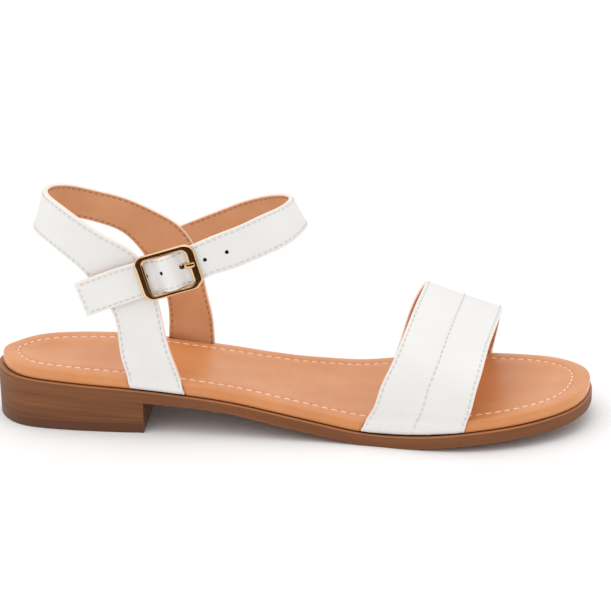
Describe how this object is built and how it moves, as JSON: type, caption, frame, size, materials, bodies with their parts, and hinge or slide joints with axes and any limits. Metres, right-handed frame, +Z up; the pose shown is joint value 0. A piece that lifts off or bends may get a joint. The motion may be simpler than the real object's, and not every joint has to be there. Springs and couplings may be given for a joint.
{
  "type": "ankle strap sandal",
  "caption": "Right flat sandal with a broad forefoot strap, a heel strap and an ankle strap closed by a buckle, on a low stacked heel.",
  "frame": {"origin": "on the floor, under the centre of the bounding box", "axes": "+X from the heel to the toe, +Y to the inner (medial) side, +Z up"},
  "size_m": [0.2488, 0.0912, 0.0965],
  "materials": {
    "outsole_leather": "brown waxed leather, satin",
    "stacked_leather": "brown stacked leather with fine level streaks, satin",
    "heel_rubber": "dark brown, matte",
    "tan_leather": "tan smooth leather, soft sheen",
    "white_leather": "white smooth leather, soft sheen",
    "gilt_brass": "pale gilt, polished"
  },
  "bodies": {
    "root": {"outsole": "outsole_leather", "heel_block": "stacked_leather", "top_lift": "heel_rubber", "footbed": "tan_leather", "toe_strap": "white_leather", "ankle_upper": "white_leather", "buckle_tab": "white_leather", "buckle_frame": "gilt_brass", "buckle_prong": "gilt_brass"}
  },
  "joints": []
}
